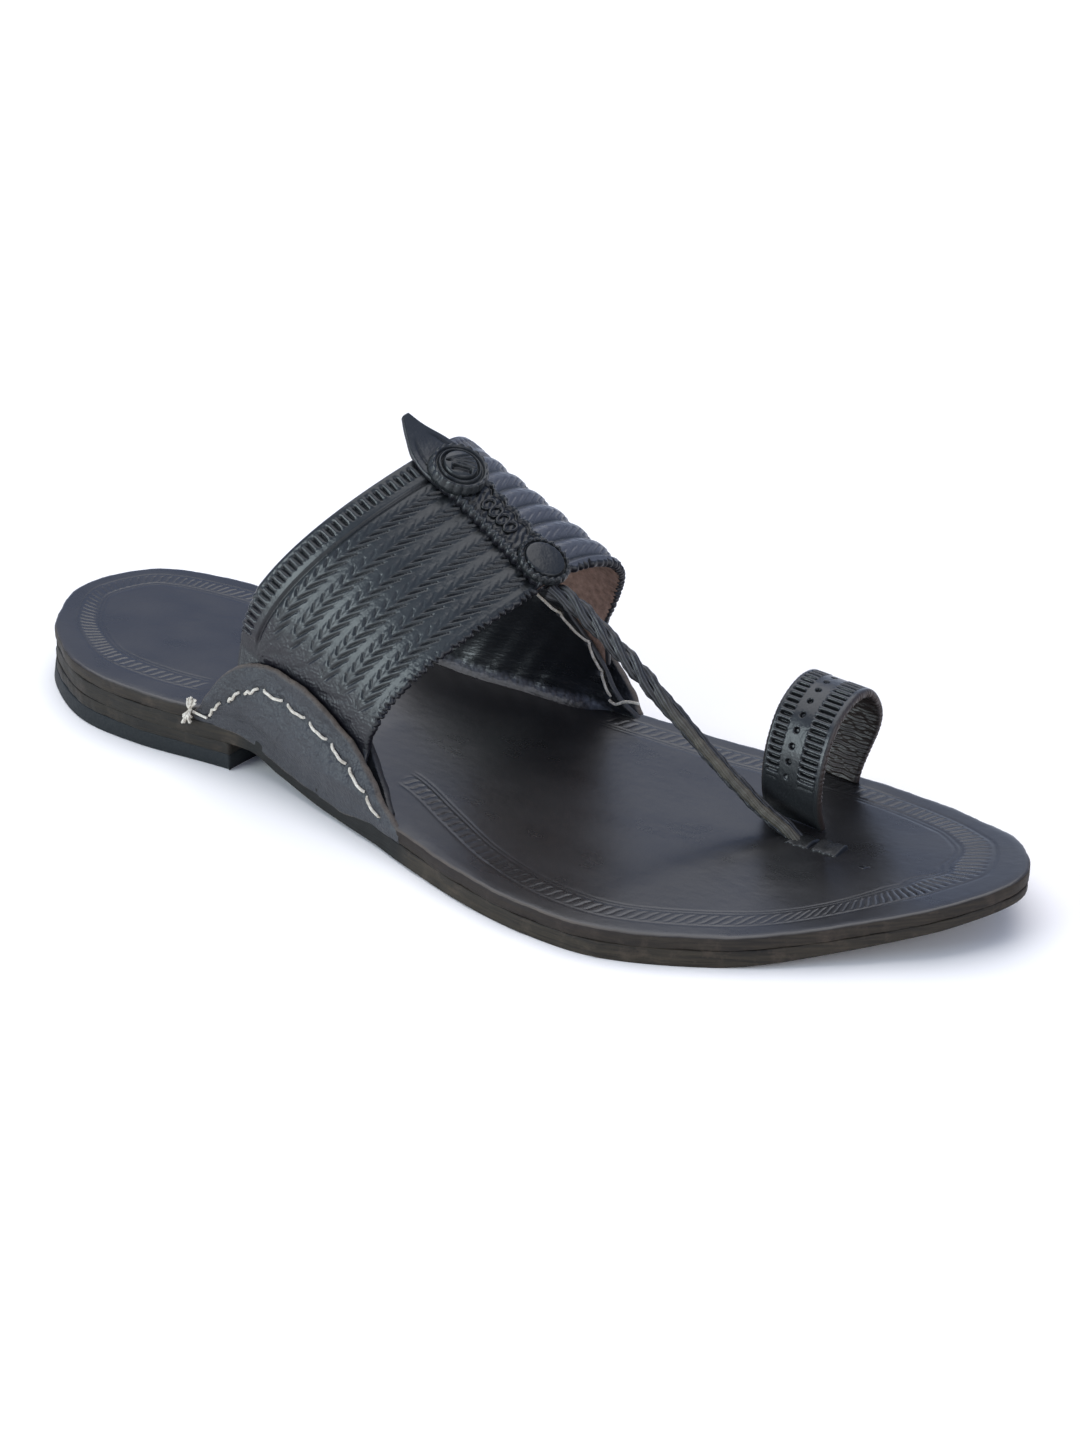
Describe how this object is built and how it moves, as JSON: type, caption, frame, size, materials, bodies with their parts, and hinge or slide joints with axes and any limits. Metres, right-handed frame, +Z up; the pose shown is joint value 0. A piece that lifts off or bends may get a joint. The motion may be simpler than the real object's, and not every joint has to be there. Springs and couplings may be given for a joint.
{
  "type": "kolhapuri sandal",
  "caption": "Black leather kolhapuri sandal for the right foot: stacked leather sole with a low heel, embossed instep band held by sewn ears, braided thong and toe ring.",
  "frame": {"origin": "bottom centre of the bounding box, on the floor that the sandal stands on", "axes": "+X to the outer (lateral) side of the right foot, +Y to the toe, +Z up"},
  "size_m": [0.102, 0.2924, 0.0935],
  "materials": {
    "black_leather": "black vegetable-tanned leather, satin, fine grain, cut edges burnished brown",
    "sole_leather": "stacked sole leather, brown-black burnished edge",
    "heel_rubber": "matt black rubber",
    "thread": "waxed cream cotton thread"
  },
  "bodies": {
    "root": {"heel_rubber": "heel_rubber", "heel_lift": "sole_leather", "outsole": "sole_leather", "insole": "black_leather", "instep_band": "black_leather", "crest_strip": "black_leather", "rear_boss": "black_leather", "front_boss": "black_leather", "thong": "black_leather", "toe_ring": "black_leather", "toe_tie": "black_leather", "ear_lateral_outer": "black_leather", "ear_lateral_inner": "black_leather", "ear_medial_outer": "black_leather", "ear_medial_inner": "black_leather"}
  },
  "joints": []
}
